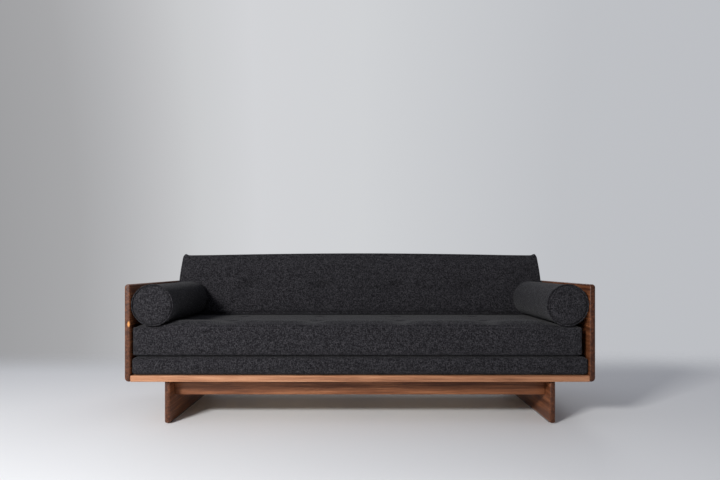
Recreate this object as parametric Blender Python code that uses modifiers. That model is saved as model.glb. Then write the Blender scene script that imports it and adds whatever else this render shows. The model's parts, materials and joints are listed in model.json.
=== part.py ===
"""Walnut daybed: two side panels and a back panel round a slatted-frame platform, on two leg
panels and two stretchers, with an upholstered base pad, a tufted seat cushion, a leaning tufted
back cushion and two bolsters.

Metres, +Z up, front towards -Y. The origin is on the floor, under the middle of the daybed.
"""

import math

import bmesh
import bpy
from mathutils import Matrix, Vector

# ---------------------------------------------------------------- driving dimensions
OVERALL_LENGTH = 2.134
OVERALL_DEPTH = 0.800
ARM_TOP = 0.638
PLATFORM_UNDERSIDE = 0.196

TOUCH = 0.0003  # between two solids that touch
REST = 0.0005  # between a loose soft piece and what it rests on

# Solid walnut boards
BOARD = 0.0254
BOARD_EDGE = 0.004
ARM_TOP_ROUND = 0.014
ARM_BOTTOM_ROUND = 0.018

# Platform
RAIL_HEIGHT = 0.028
RAIL_WIDTH = 0.060
RAIL_EDGE = 0.0025
LEDGE = 0.020
DECK_THICKNESS = 0.009
DECK_CLEARANCE = 0.001
END_RAIL_WIDTH = 0.045
BEARER_WIDTH = 0.070

# Base
LEG_END_INSET = 0.174
LEG_FRONT_INSET = 0.020
LEG_EDGE = 0.008
STRETCHER_INSET = 0.065
STRETCHER_HEIGHT = 0.077
CLEAT = 0.030
FELT_WIDTH = 0.020
FELT_THICKNESS = 0.003
FELT_END_INSET = 0.030

# Bolts and screws
BOLT_RADIUS = 0.003
BOLT_HEAD_RADIUS = 0.0055
BOLT_HEAD_HEIGHT = 0.004
BOLT_CLEARANCE = 0.0003
BOLT_BITE = 0.014
BOLT_END_ROOM = 0.001
SIDE_BOLT_FROM_END = 0.150
BASE_BOLT_FROM_END = 0.210
BACK_SCREW_FROM_MIDDLE = 0.450

# Covers: fabric with its wadding, round a foam core
COVER_WALL = 0.020
COVER_EDGE = 0.012
CORE_EDGE = 0.006

# Base pad, stapled to the deck board
BASE_PAD_HEIGHT = 0.0835
BASE_PAD_SIDE_GAP = 0.002
BASE_PAD_SETBACK = 0.003

# Seat cushion
SEAT_THICKNESS = 0.140
SEAT_LEFT_GAP = 0.005
SEAT_RIGHT_GAP = 0.027
SEAT_SETBACK = 0.005
SEAT_REAR_GAP = 0.012
SEAT_BUTTON_COLUMNS = 4
SEAT_FRONT_ROW = 0.227
SEAT_ROW_SPACING = 0.265

# Back cushion
BACK_RISE = 0.340
BACK_THICKNESS = 0.135
BACK_LEAN = math.radians(13.0)
BACK_SIDE_GAP = 0.002
BACK_REST_GAP = 0.0075
BACK_BUTTON_COLUMNS = 4
BACK_BUTTON_HEIGHT = 0.170

# Bolsters
BOLSTER_RADIUS = 0.0944
BOLSTER_WALL = 0.010
BOLSTER_EDGE = 0.004
BOLSTER_SETBACK = 0.008
BOLSTER_SIDE_GAP = 0.002
BOLSTER_BACK_GAP = 0.002
BOLSTER_SIDES = 48

# Tufting buttons, in pockets
BUTTON_RADIUS = 0.011
BUTTON_HEIGHT = 0.006
POCKET_CLEARANCE = 0.0015
POCKET_DEPTH = 0.008

# Zips: a tape in a slot of the cover, and the slider that runs on it
ZIP_SLOT = 0.008
ZIP_TAPE_THICKNESS = 0.003
ZIP_RECESS = 0.0005
ZIP_END_GAP = 0.040
BACK_ZIP_HEIGHT = 0.060
BOLSTER_ZIP_ANGLE = math.radians(225.0)
SLIDER_LENGTH = 0.012
SLIDER_WIDTH = 0.009
SLIDER_HEIGHT = 0.004
PULL_LENGTH = 0.026
PULL_WIDTH = 0.005
PULL_THICKNESS = 0.0012
PULL_OVERLAP = 0.003

# ---------------------------------------------------------------- derived places
HALF_LENGTH = OVERALL_LENGTH / 2
FRONT = -OVERALL_DEPTH / 2
BACK = OVERALL_DEPTH / 2
INNER_HALF = HALF_LENGTH - BOARD
PANEL_FACE = BACK - BOARD  # the back panel's inner face

PLATFORM_TOP = PLATFORM_UNDERSIDE + RAIL_HEIGHT
BEARER_TOP = PLATFORM_TOP - DECK_THICKNESS
FRONT_RAIL_INNER = FRONT + RAIL_WIDTH
BACK_RAIL_REAR = PANEL_FACE - TOUCH
BACK_RAIL_INNER = BACK_RAIL_REAR - RAIL_WIDTH

LEG_OUTER = HALF_LENGTH - LEG_END_INSET
LEG_INNER = LEG_OUTER - BOARD
LEG_FRONT = FRONT + LEG_FRONT_INSET
LEG_BACK = BACK - LEG_FRONT_INSET
LEG_TOP = PLATFORM_UNDERSIDE - TOUCH
LEG_FOOT = FELT_THICKNESS + TOUCH

BASE_PAD_BOTTOM = PLATFORM_TOP + TOUCH
BASE_PAD_TOP = BASE_PAD_BOTTOM + BASE_PAD_HEIGHT
SEAT_BOTTOM = BASE_PAD_TOP + REST
SEAT_TOP = SEAT_BOTTOM + SEAT_THICKNESS
SEAT_LENGTH = 2 * INNER_HALF - SEAT_LEFT_GAP - SEAT_RIGHT_GAP
SEAT_MIDDLE = (SEAT_LEFT_GAP - SEAT_RIGHT_GAP) / 2
SEAT_FRONT = FRONT + SEAT_SETBACK
SEAT_DEPTH = PANEL_FACE - SEAT_REAR_GAP - SEAT_FRONT

BACK_BOTTOM = SEAT_TOP + REST
BACK_LENGTH = 2 * (INNER_HALF - BACK_SIDE_GAP)
BACK_SLANT = BACK_RISE / math.cos(BACK_LEAN)
BACK_FOOT = (
    PANEL_FACE
    - BACK_REST_GAP
    - BACK_THICKNESS / math.cos(BACK_LEAN)
    - (ARM_TOP - BACK_BOTTOM) * math.tan(BACK_LEAN)
)

BOLSTER_FRONT = FRONT + BOLSTER_SETBACK
BOLSTER_LENGTH = BACK_FOOT - BOLSTER_BACK_GAP - BOLSTER_FRONT
BOLSTER_MIDDLE = INNER_HALF - BOLSTER_SIDE_GAP - BOLSTER_RADIUS
BOLSTER_HEIGHT = SEAT_TOP + REST + BOLSTER_RADIUS


# ---------------------------------------------------------------- scene and materials
def clear_scene():
    for obj in list(bpy.data.objects):
        bpy.data.objects.remove(obj)


def new_collection(name, hidden=False):
    collection = bpy.data.collections.new(name)
    bpy.context.scene.collection.children.link(collection)
    collection.hide_render = hidden
    return collection


def make_material(name, colour, roughness, metallic=0.0):
    material = bpy.data.materials.new(name)
    material.use_nodes = True
    shader = material.node_tree.nodes["Principled BSDF"]
    shader.inputs["Base Color"].default_value = (*colour, 1.0)
    shader.inputs["Roughness"].default_value = roughness
    shader.inputs["Metallic"].default_value = metallic
    return material


clear_scene()
DAYBED = new_collection("daybed")
CUTTERS = new_collection("cutters", hidden=True)
WALNUT = make_material("walnut", (0.115, 0.050, 0.027), 0.45)
PALE_WALNUT = make_material("pale_walnut", (0.300, 0.150, 0.080), 0.45)
PLYWOOD = make_material("plywood", (0.520, 0.380, 0.230), 0.60)
CHARCOAL = make_material("charcoal_wool", (0.034, 0.033, 0.037), 0.95)
FOAM = make_material("foam", (0.720, 0.680, 0.520), 0.90)
ZIP_TAPE = make_material("zip_tape", (0.020, 0.020, 0.022), 0.80)
STEEL = make_material("zinc_steel", (0.480, 0.480, 0.470), 0.35, 0.9)
BRASS = make_material("zip_brass", (0.400, 0.300, 0.140), 0.35, 0.9)
FELT = make_material("felt", (0.060, 0.055, 0.050), 0.95)


# ---------------------------------------------------------------- building tools
def mesh_object(name, mesh_builder, material=None, parent=None, place=(0, 0, 0)):
    """An object whose mesh is drawn by mesh_builder(bm), at a place in its parent's frame."""
    bm = bmesh.new()
    mesh_builder(bm)
    mesh = bpy.data.meshes.new(name)
    bm.to_mesh(mesh)
    bm.free()
    obj = bpy.data.objects.new(name, mesh)
    obj.location = place
    obj.parent = parent
    if material is None:
        CUTTERS.objects.link(obj)
        obj.hide_render = True
        obj.display_type = "WIRE"
    else:
        DAYBED.objects.link(obj)
        mesh.materials.append(material)
    return obj


def new_frame(name, place, lean=0.0):
    """An empty that the pieces of one moving group are placed from."""
    frame = bpy.data.objects.new(name, None)
    frame.location = place
    frame.rotation_euler = (-lean, 0, 0)
    DAYBED.objects.link(frame)
    return frame


def round_edges(obj, width, segments=2):
    bevel = obj.modifiers.new("round_edges", "BEVEL")
    bevel.width = width
    bevel.segments = segments
    bevel.limit_method = "ANGLE"
    bevel.angle_limit = math.radians(40)
    bevel.use_clamp_overlap = False


def boolean(obj, cutter, operation="DIFFERENCE"):
    step = obj.modifiers.new(operation.lower(), "BOOLEAN")
    step.operation = operation
    step.object = cutter
    step.solver = "EXACT"


def box_builder(low, high):
    """Draws the box between two corners, given from the object's own origin."""
    low, high = Vector(low), Vector(high)

    def draw(bm):
        bmesh.ops.create_cube(bm, size=1.0)
        bmesh.ops.scale(bm, vec=high - low, verts=bm.verts)
        bmesh.ops.translate(bm, vec=(low + high) / 2, verts=bm.verts)

    return draw


def board(name, low, high, material, edge, parent=None):
    """A straight board between two corners, with its origin in its middle."""
    middle = (Vector(low) + Vector(high)) / 2
    half = (Vector(high) - Vector(low)) / 2
    obj = mesh_object(name, box_builder(-half, half), material, parent, middle)
    if edge:
        round_edges(obj, edge)
    return obj


def rod_builder(radius, length, sides):
    """Draws a closed cylinder along +Z from the object's origin."""

    def draw(bm):
        bmesh.ops.create_cone(
            bm,
            cap_ends=True,
            segments=sides,
            radius1=radius,
            radius2=radius,
            depth=length,
        )
        bmesh.ops.translate(bm, vec=(0, 0, length / 2), verts=bm.verts)

    return draw


def aim(obj, direction):
    obj.rotation_mode = "QUATERNION"
    obj.rotation_quaternion = Vector(direction).to_track_quat("Z", "Y")


# ---------------------------------------------------------------- side panels and back panel
def side_panel_builder(side):
    """A board on edge: its outer top and bottom corners carry larger rounds than the others."""
    outer, inner = side * HALF_LENGTH, side * INNER_HALF

    def draw(bm):
        low = (min(outer, inner), FRONT, PLATFORM_UNDERSIDE)
        high = (max(outer, inner), BACK, ARM_TOP)
        box_builder(low, high)(bm)
        for height, radius in ((ARM_TOP, ARM_TOP_ROUND), (PLATFORM_UNDERSIDE, ARM_BOTTOM_ROUND)):
            corner = [
                edge
                for edge in bm.edges
                if all(
                    abs(v.co.x - outer) < 1e-6 and abs(v.co.z - height) < 1e-6
                    for v in edge.verts
                )
            ]
            bmesh.ops.bevel(
                bm, geom=corner, offset=radius, segments=5, profile=0.5, affect="EDGES"
            )

    return draw


def make_side_panels():
    for name, side in (("side_panel_left", -1), ("side_panel_right", 1)):
        panel = mesh_object(name, side_panel_builder(side), WALNUT)
        round_edges(panel, BOARD_EDGE, 3)


def make_back_panel():
    half = INNER_HALF - TOUCH
    low = (-half, PANEL_FACE, PLATFORM_UNDERSIDE)
    board("back_panel", low, (half, BACK, ARM_TOP), WALNUT, BOARD_EDGE)


# ---------------------------------------------------------------- platform
def make_long_rail(name, front, material):
    """A rail along the daybed, between the side panels."""
    half = INNER_HALF - TOUCH
    low = (-half, front, PLATFORM_UNDERSIDE)
    return board(name, low, (half, front + RAIL_WIDTH, PLATFORM_TOP), material, RAIL_EDGE)


def make_platform():
    rails = (
        make_long_rail("front_rail", FRONT, PALE_WALNUT),
        make_long_rail("back_rail", BACK_RAIL_INNER, WALNUT),
    )
    # One cutter makes the rebate in both rails that the deck board lies in.
    rebate = mesh_object(
        "deck_rebate",
        box_builder(
            (-HALF_LENGTH, FRONT_RAIL_INNER - LEDGE, BEARER_TOP),
            (HALF_LENGTH, BACK_RAIL_INNER + LEDGE, PLATFORM_TOP + RAIL_HEIGHT),
        ),
    )
    for rail in rails:
        boolean(rail, rebate)
    near, far = FRONT_RAIL_INNER + TOUCH, BACK_RAIL_INNER - TOUCH
    low, top = PLATFORM_UNDERSIDE, BEARER_TOP - TOUCH
    end_outer = INNER_HALF - TOUCH
    end_inner = end_outer - END_RAIL_WIDTH
    board("end_rail_left", (-end_outer, near, low), (-end_inner, far, top), WALNUT, 0)
    board("end_rail_right", (end_inner, near, low), (end_outer, far, top), WALNUT, 0)
    for name, middle in (
        ("bearer_left", BEARER_WIDTH / 2 - LEG_OUTER),
        ("bearer_centre", 0.0),
        ("bearer_right", LEG_OUTER - BEARER_WIDTH / 2),
    ):
        edge = BEARER_WIDTH / 2
        board(name, (middle - edge, near, low), (middle + edge, far, top), WALNUT, 0)
    deck_half = INNER_HALF - DECK_CLEARANCE
    board(
        "deck_board",
        (-deck_half, FRONT_RAIL_INNER - LEDGE + DECK_CLEARANCE, BEARER_TOP + TOUCH),
        (deck_half, BACK_RAIL_INNER + LEDGE - DECK_CLEARANCE, PLATFORM_TOP),
        PLYWOOD,
        0,
    )


# ---------------------------------------------------------------- base
def make_base():
    for side, word in ((-1, "left"), (1, "right")):
        low_x, high_x = sorted((side * LEG_OUTER, side * LEG_INNER))
        board(
            "leg_panel_" + word,
            (low_x, LEG_FRONT, LEG_FOOT),
            (high_x, LEG_BACK, LEG_TOP),
            WALNUT,
            LEG_EDGE,
        )
        cleat_outer = side * (LEG_INNER - TOUCH)
        cleat_inner = cleat_outer - side * CLEAT
        near = LEG_FRONT + STRETCHER_INSET + BOARD + TOUCH
        board(
            "leg_cleat_" + word,
            (min(cleat_outer, cleat_inner), near, LEG_TOP - CLEAT),
            (max(cleat_outer, cleat_inner), -near, LEG_TOP),
            WALNUT,
            0,
        )
        middle = side * (LEG_OUTER + LEG_INNER) / 2
        board(
            "felt_strip_" + word,
            (middle - FELT_WIDTH / 2, LEG_FRONT + FELT_END_INSET, 0),
            (middle + FELT_WIDTH / 2, LEG_BACK - FELT_END_INSET, FELT_THICKNESS),
            FELT,
            0,
        )
    half = LEG_INNER - TOUCH
    near = LEG_FRONT + STRETCHER_INSET
    low = LEG_TOP - STRETCHER_HEIGHT
    board("front_stretcher", (-half, near, low), (half, near + BOARD, LEG_TOP), WALNUT, BOARD_EDGE)
    board("back_stretcher", (-half, -near - BOARD, low), (half, -near, LEG_TOP), WALNUT, BOARD_EDGE)


# ---------------------------------------------------------------- bolts and screws
def make_fastener(name, seat, direction, length, pierced):
    """A headed bolt whose head bears on the point seat, and its clearance hole in each board."""
    shank = mesh_object(name, rod_builder(BOLT_RADIUS, length, 16), STEEL, place=seat)
    aim(shank, direction)
    head = mesh_object(
        name + "_head",
        rod_builder(BOLT_HEAD_RADIUS, BOLT_HEAD_HEIGHT, 16),
        place=Vector(seat) - Vector(direction) * (BOLT_HEAD_HEIGHT + TOUCH),
    )
    aim(head, direction)
    neck = Vector(direction) * BOLT_HEAD_HEIGHT / 2
    shank.location = Vector(seat) - neck
    hole_length = length + BOLT_END_ROOM + BOLT_HEAD_HEIGHT / 2
    hole = mesh_object(
        name + "_hole",
        rod_builder(BOLT_RADIUS + BOLT_CLEARANCE, hole_length, 16),
        place=Vector(seat) - neck * 2,
    )
    aim(hole, direction)
    boolean(shank, head, "UNION")
    for board_name in pierced:
        boolean(bpy.data.objects[board_name], hole)


def make_fasteners():
    platform_middle = (PLATFORM_UNDERSIDE + BEARER_TOP) / 2
    for side, word in ((-1, "left"), (1, "right")):
        for end, y in (("front", FRONT + SIDE_BOLT_FROM_END), ("back", BACK - SIDE_BOLT_FROM_END)):
            make_fastener(
                f"side_bolt_{end}_{word}",
                (side * (INNER_HALF - TOUCH - END_RAIL_WIDTH), y, platform_middle),
                (side, 0, 0),
                END_RAIL_WIDTH + BOLT_BITE,
                (f"end_rail_{word}", f"side_panel_{word}"),
            )
        for end, y in (("front", FRONT + BASE_BOLT_FROM_END), ("back", BACK - BASE_BOLT_FROM_END)):
            make_fastener(
                f"base_bolt_{end}_{word}",
                (side * (LEG_INNER - TOUCH - CLEAT / 2), y, LEG_TOP - CLEAT),
                (0, 0, 1),
                CLEAT + BOLT_BITE,
                (f"leg_cleat_{word}", f"bearer_{word}"),
            )
        make_fastener(
            f"back_screw_{word}",
            (side * BACK_SCREW_FROM_MIDDLE, BACK_RAIL_INNER, platform_middle),
            (0, 1, 0),
            RAIL_WIDTH + BOLT_BITE,
            ("back_rail", "back_panel"),
        )


# ---------------------------------------------------------------- cushions
def slab_builder(length, depth, height, slope, inset):
    """Draws a cushion's body, inset from its outer size. Its front bottom edge is the origin's
    line, and its bottom rises towards the back by slope."""

    def draw(bm):
        half = length / 2 - inset
        box_builder((-half, inset, 0), (half, depth - inset, height - inset))(bm)
        for vert in bm.verts:
            if abs(vert.co.z) < 1e-6:
                vert.co.z = vert.co.y * slope + inset * math.hypot(1, slope)

    return draw


def make_cushion(name, frame, size, slope=0.0):
    """A zipped cover with a foam core in it. size is (length, depth, height) in frame."""
    cover = mesh_object(name + "_cover", slab_builder(*size, slope, 0), CHARCOAL, frame)
    round_edges(cover, COVER_EDGE, 3)
    hollow = mesh_object(
        name + "_hollow", slab_builder(*size, slope, COVER_WALL), parent=frame
    )
    round_edges(hollow, CORE_EDGE, 1)
    boolean(cover, hollow)
    core = mesh_object(
        name + "_foam", slab_builder(*size, slope, COVER_WALL + TOUCH), FOAM, frame
    )
    round_edges(core, CORE_EDGE, 1)
    return cover


def button_builder(bm):
    """The outline of a covered button, from its crown down its side and back to its axis."""
    outline = [
        (0, BUTTON_HEIGHT),
        (0.55 * BUTTON_RADIUS, 0.86 * BUTTON_HEIGHT),
        (0.90 * BUTTON_RADIUS, 0.50 * BUTTON_HEIGHT),
        (BUTTON_RADIUS, 0.15 * BUTTON_HEIGHT),
        (0.85 * BUTTON_RADIUS, 0),
        (0, 0),
    ]
    verts = [bm.verts.new((x, 0, z)) for x, z in outline]
    for first, second in zip(verts, verts[1:]):
        bm.edges.new((first, second))


def make_buttons(name, cover, frame, places, outward):
    """Covered buttons, each at the bottom of a pocket in the cover."""
    pocket_radius = BUTTON_RADIUS + POCKET_CLEARANCE
    turn = Vector(outward).to_track_quat("Z", "Y").to_matrix().to_4x4()

    def draw_pockets(bm):
        for place in places:
            bottom = Vector(place) - Vector(outward) * POCKET_DEPTH
            bmesh.ops.create_cone(
                bm,
                cap_ends=True,
                segments=16,
                radius1=pocket_radius,
                radius2=pocket_radius,
                depth=2 * POCKET_DEPTH,
                matrix=Matrix.Translation(bottom + Vector(outward) * POCKET_DEPTH) @ turn,
            )

    boolean(cover, mesh_object(name + "_pockets", draw_pockets, parent=frame))
    for number, place in enumerate(places, 1):
        button = mesh_object(
            f"{name}_{number}",
            button_builder,
            CHARCOAL,
            frame,
            Vector(place) - Vector(outward) * (POCKET_DEPTH - TOUCH),
        )
        aim(button, outward)
        turned = button.modifiers.new("turned", "SCREW")
        turned.steps = turned.render_steps = 16
        turned.use_merge_vertices = True
        turned.merge_threshold = 0.0001
        turned.use_normal_calculate = True


def button_columns(length, count):
    """The middles of evenly spaced columns, as far from the ends as from each other."""
    return [length * ((column + 1) / (count + 1) - 0.5) for column in range(count)]


def make_zip(name, cover, place, outward, along, length, frame):
    """A slot through the cover's wall, the zip's tape in it, and the slider at one end of it.
    The tape runs along the direction along, centred on place, on the cover's outer surface."""
    outward, along = Vector(outward), Vector(along)
    across = outward.cross(along)
    turn = Matrix((along, across, outward)).transposed().to_quaternion()

    def turned_box(box_name, low, high, material=None):
        obj = mesh_object(box_name, box_builder(low, high), material, frame, place)
        obj.rotation_mode = "QUATERNION"
        obj.rotation_quaternion = turn
        return obj

    half, edge = length / 2, ZIP_SLOT / 2
    boolean(
        cover,
        turned_box(name + "_slot", (-half, -edge, -2 * COVER_WALL), (half, edge, COVER_WALL)),
    )
    turned_box(
        name,
        (-half + TOUCH, -edge + TOUCH, -ZIP_RECESS - ZIP_TAPE_THICKNESS),
        (half - TOUCH, edge - TOUCH, -ZIP_RECESS),
        ZIP_TAPE,
    )
    start = -half + SLIDER_LENGTH
    slider = turned_box(
        name + "_slider",
        (start - SLIDER_LENGTH / 2, -SLIDER_WIDTH / 2, REST),
        (start + SLIDER_LENGTH / 2, SLIDER_WIDTH / 2, REST + SLIDER_HEIGHT),
        BRASS,
    )
    pull_end = start + SLIDER_LENGTH / 2 - PULL_OVERLAP
    middle = REST + SLIDER_HEIGHT / 2
    pull = turned_box(
        name + "_pull",
        (pull_end, -PULL_WIDTH / 2, middle - PULL_THICKNESS / 2),
        (pull_end + PULL_LENGTH, PULL_WIDTH / 2, middle + PULL_THICKNESS / 2),
    )
    boolean(slider, pull, "UNION")


# ---------------------------------------------------------------- upholstery
def pad_cap_builder(low, high):
    """Draws a block whose upright and top edges are rounded and whose bottom edges are sharp."""

    def draw(bm):
        box_builder(low, high)(bm)
        rounded = [e for e in bm.edges if any(v.co.z > low[2] + 1e-6 for v in e.verts)]
        bmesh.ops.bevel(
            bm, geom=rounded, offset=COVER_EDGE, segments=3, profile=0.5, affect="EDGES"
        )

    return draw


def make_base_pad():
    """Foam on the deck board, and the fabric cap that is stapled over it."""
    half = INNER_HALF - BASE_PAD_SIDE_GAP
    low = Vector((-half, FRONT + BASE_PAD_SETBACK, BASE_PAD_BOTTOM))
    high = Vector((half, PANEL_FACE - BASE_PAD_SIDE_GAP, BASE_PAD_TOP))
    cap = mesh_object("base_pad_cover", pad_cap_builder(low, high), CHARCOAL)
    wall = Vector((COVER_WALL, COVER_WALL, COVER_WALL))
    below = Vector((0, 0, 2 * COVER_WALL))
    boolean(cap, mesh_object("base_pad_hollow", box_builder(low + wall - below, high - wall)))
    clearance = Vector((TOUCH, TOUCH, TOUCH))
    foam_low = Vector((low.x + COVER_WALL + TOUCH, low.y + COVER_WALL + TOUCH, low.z))
    board("base_pad_foam", foam_low, high - wall - clearance, FOAM, 0)


def make_seat():
    frame = new_frame("seat_lift_axis", (SEAT_MIDDLE, SEAT_FRONT, SEAT_BOTTOM))
    cover = make_cushion("seat", frame, (SEAT_LENGTH, SEAT_DEPTH, SEAT_THICKNESS))
    places = [
        (x, y, SEAT_THICKNESS)
        for y in (SEAT_FRONT_ROW, SEAT_FRONT_ROW + SEAT_ROW_SPACING)
        for x in button_columns(SEAT_LENGTH, SEAT_BUTTON_COLUMNS)
    ]
    make_buttons("seat_button", cover, frame, places, (0, 0, 1))
    make_zip(
        "seat_zip",
        cover,
        (0, SEAT_DEPTH, SEAT_THICKNESS / 2),
        (0, 1, 0),
        (1, 0, 0),
        SEAT_LENGTH - 2 * ZIP_END_GAP,
        frame,
    )


def make_back_cushion():
    frame = new_frame("back_lift_axis", (0, BACK_FOOT, BACK_BOTTOM), BACK_LEAN)
    size = (BACK_LENGTH, BACK_THICKNESS, BACK_SLANT)
    cover = make_cushion("back", frame, size, math.tan(BACK_LEAN))
    places = [
        (x, 0, BACK_BUTTON_HEIGHT)
        for x in button_columns(BACK_LENGTH, BACK_BUTTON_COLUMNS)
    ]
    make_buttons("back_button", cover, frame, places, (0, -1, 0))
    make_zip(
        "back_zip",
        cover,
        (0, BACK_THICKNESS, BACK_THICKNESS * math.tan(BACK_LEAN) + BACK_ZIP_HEIGHT),
        (0, 1, 0),
        (1, 0, 0),
        BACK_LENGTH - 2 * ZIP_END_GAP,
        frame,
    )


def make_bolster(word, side):
    """A round cushion along the side panel. Its frame's +Z runs from front to back."""
    name = "bolster_" + word
    frame = new_frame(name + "_lift_axis", (side * BOLSTER_MIDDLE, BOLSTER_FRONT, BOLSTER_HEIGHT))
    cover = mesh_object(
        name + "_cover", rod_builder(BOLSTER_RADIUS, BOLSTER_LENGTH, BOLSTER_SIDES), CHARCOAL, frame
    )
    hollow = mesh_object(
        name + "_hollow",
        rod_builder(
            BOLSTER_RADIUS - BOLSTER_WALL, BOLSTER_LENGTH - 2 * BOLSTER_WALL, BOLSTER_SIDES
        ),
        parent=frame,
        place=(0, BOLSTER_WALL, 0),
    )
    core = mesh_object(
        name + "_foam",
        rod_builder(
            BOLSTER_RADIUS - BOLSTER_WALL - TOUCH,
            BOLSTER_LENGTH - 2 * BOLSTER_WALL - 2 * TOUCH,
            BOLSTER_SIDES,
        ),
        FOAM,
        frame,
        (0, BOLSTER_WALL + TOUCH, 0),
    )
    for piece in (cover, hollow, core):
        aim(piece, (0, 1, 0))
    round_edges(cover, BOLSTER_EDGE)
    boolean(cover, hollow)
    direction = Vector((math.cos(BOLSTER_ZIP_ANGLE), 0, math.sin(BOLSTER_ZIP_ANGLE)))
    direction.x *= -side
    facet = math.cos(math.pi / BOLSTER_SIDES)
    make_zip(
        name + "_zip",
        cover,
        direction * BOLSTER_RADIUS * facet + Vector((0, BOLSTER_LENGTH / 2, 0)),
        direction,
        (0, 1, 0),
        BOLSTER_LENGTH - 2 * ZIP_END_GAP,
        frame,
    )


make_side_panels()
make_back_panel()
make_platform()
make_base()
make_fasteners()
make_base_pad()
make_seat()
make_back_cushion()
make_bolster("left", -1)
make_bolster("right", 1)
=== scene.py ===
import json
import math

import bpy
import numpy as np
from mathutils import Matrix, Vector


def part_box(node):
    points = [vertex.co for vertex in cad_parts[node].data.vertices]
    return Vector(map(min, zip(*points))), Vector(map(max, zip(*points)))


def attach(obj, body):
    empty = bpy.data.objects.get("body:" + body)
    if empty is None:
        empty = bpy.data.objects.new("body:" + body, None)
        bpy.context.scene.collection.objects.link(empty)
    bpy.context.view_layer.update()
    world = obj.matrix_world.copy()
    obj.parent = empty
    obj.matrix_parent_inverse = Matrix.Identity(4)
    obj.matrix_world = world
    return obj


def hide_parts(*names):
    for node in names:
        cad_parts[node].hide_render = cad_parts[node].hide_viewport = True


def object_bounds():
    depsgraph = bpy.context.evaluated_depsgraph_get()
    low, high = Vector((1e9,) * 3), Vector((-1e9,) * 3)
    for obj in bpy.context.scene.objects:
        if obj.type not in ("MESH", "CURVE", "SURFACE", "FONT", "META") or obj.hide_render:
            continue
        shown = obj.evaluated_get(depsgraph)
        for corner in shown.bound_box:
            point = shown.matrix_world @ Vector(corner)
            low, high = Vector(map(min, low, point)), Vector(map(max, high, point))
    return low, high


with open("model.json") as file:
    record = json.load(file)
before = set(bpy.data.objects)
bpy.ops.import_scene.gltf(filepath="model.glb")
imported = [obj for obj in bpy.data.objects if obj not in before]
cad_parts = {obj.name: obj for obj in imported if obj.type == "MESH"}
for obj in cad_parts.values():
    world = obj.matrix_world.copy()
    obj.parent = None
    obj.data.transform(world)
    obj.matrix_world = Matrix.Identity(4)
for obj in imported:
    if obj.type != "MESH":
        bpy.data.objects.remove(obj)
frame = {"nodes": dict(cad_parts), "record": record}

cad_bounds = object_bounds()
scene = bpy.context.scene


# ---------------------------------------------------------------- side panels
# Each side is one solid walnut board on edge, planed 25 mm thick and oiled. Its outer corners
# are rounded over at the top and bottom, and every other edge is eased with a small round. It
# is bolted to the platform from inside, so no fixing shows.
BOARD_EDGE = 0.006
TOP_CORNER = 0.014
BOTTOM_CORNER = 0.018
ROUND_STEPS = 5
# A painted patch of light on the left side board's inner front edge: its size, its inset from the
# outer face, its height and its pale orange colour.
LIGHT_SPOT_SIZE = (0.0075, 0.030, 0.017)
LIGHT_SPOT_INSET = 0.019
LIGHT_SPOT_HEIGHT = 0.458
LIGHT_SPOT_COLOUR = (0.62, 0.27, 0.085, 1)
GRAIN_TURNS = {"X": (0, math.radians(-90), 0), "Y": (math.radians(90), 0, 0), "Z": (0, 0, 0)}
WALNUT_TONES = (
    (0.00, (0.026, 0.0072, 0.0026)),
    (0.30, (0.066, 0.0205, 0.0078)),
    (0.55, (0.130, 0.0440, 0.0175)),
    (0.80, (0.220, 0.0820, 0.0340)),
    (1.00, (0.350, 0.1500, 0.0680)),
)


def add_node(tree, kind, inputs=(), **settings):
    """A shader node. inputs holds numbers, colours or other nodes' outputs, by socket."""
    made = tree.nodes.new("ShaderNode" + kind)
    for name, value in settings.items():
        setattr(made, name, value)
    for name, value in dict(inputs).items():
        if isinstance(value, bpy.types.NodeSocket):
            tree.links.new(value, made.inputs[name])
        else:
            made.inputs[name].default_value = value
    return made


def calculate(tree, operation, first, second=0.0, third=0.0):
    """The output of one Math node."""
    inputs = {0: first, 1: second, 2: third}
    return add_node(tree, "Math", inputs, operation=operation).outputs[0]


def map_range(tree, value, low, high, to_low=0.0, to_high=1.0):
    """The output of a node that takes values from low to high over to to_low to to_high."""
    inputs = {0: value, 1: low, 2: high, 3: to_low, 4: to_high}
    return add_node(tree, "MapRange", inputs).outputs[0]


def drawn_noise(tree, place, scale, detail, **inputs):
    """A noise whose scale differs along the three axes."""
    drawn = add_node(tree, "Mapping", {"Vector": place, "Scale": scale}).outputs[0]
    return add_node(tree, "TexNoise", {"Vector": drawn, "Scale": 1.0, "Detail": detail, **inputs})


def stray(tree, place, noise, amount):
    """Coordinates that a noise pushes a little off their place."""
    inputs = {0: noise.outputs["Color"], 1: amount, 2: place}
    return add_node(tree, "VectorMath", inputs, operation="MULTIPLY_ADD").outputs[0]


def tone_ramp(tree, factor, tones):
    """A colour ramp's output. tones holds pairs of a position and a colour."""
    ramp = add_node(tree, "ValToRGB", {"Fac": factor})
    stops = ramp.color_ramp.elements
    while len(stops) < len(tones):
        stops.new(1.0)
    for stop, (position, colour) in zip(stops, tones):
        stop.position = position
        stop.color = (*colour, 1.0)
    return ramp.outputs["Color"]


def new_material(name):
    """A material with its node tree, its shader, and its piece's own coordinates."""
    material = bpy.data.materials.new(name)
    material.use_nodes = True
    tree = material.node_tree
    place = add_node(tree, "TexCoord").outputs["Object"]
    return material, tree, tree.nodes["Principled BSDF"], place


def finish_surface(tree, shader, colour, height, roughness, **relief):
    """Gives a shader its colour, its roughness and the fine relief of its surface."""
    tree.links.new(colour, shader.inputs["Base Color"])
    if isinstance(roughness, bpy.types.NodeSocket):
        tree.links.new(roughness, shader.inputs["Roughness"])
    else:
        shader.inputs["Roughness"].default_value = roughness
    bump = add_node(tree, "Bump", {"Height": height, **relief})
    tree.links.new(bump.outputs[0], shader.inputs["Normal"])


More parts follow.
